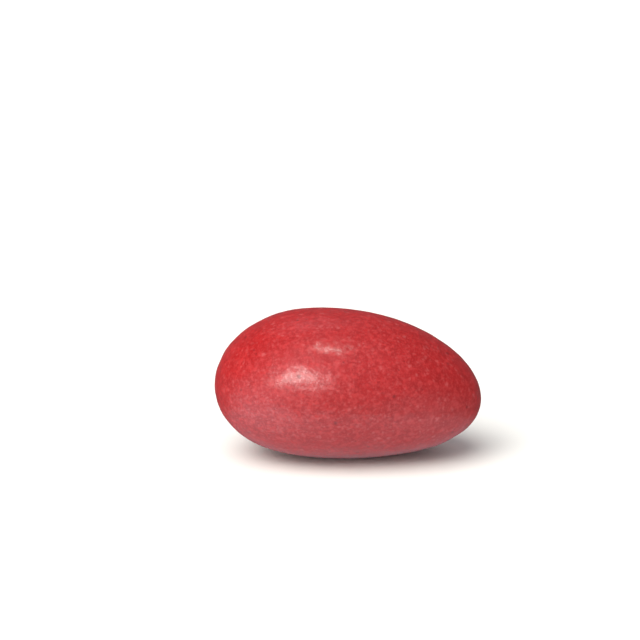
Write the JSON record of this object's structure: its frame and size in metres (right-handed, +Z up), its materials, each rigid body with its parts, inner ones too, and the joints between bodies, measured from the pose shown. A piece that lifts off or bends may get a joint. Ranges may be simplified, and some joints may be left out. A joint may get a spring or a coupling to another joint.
{
  "type": "sugared almond",
  "caption": "Egg-shaped sweet with a hard satin red sugar shell, blunt at one end and tapered at the other, lying on its side.",
  "frame": {"origin": "centre of the bounding box's underside, on the surface that the almond rests on", "axes": "+X along the almond from its blunt end to its pointed end, +Y across it, +Z up"},
  "size_m": [0.026, 0.017, 0.0145],
  "materials": {
    "sugar_shell": "satin"
  },
  "bodies": {
    "root": {"sugared_almond": "sugar_shell"}
  },
  "joints": []
}
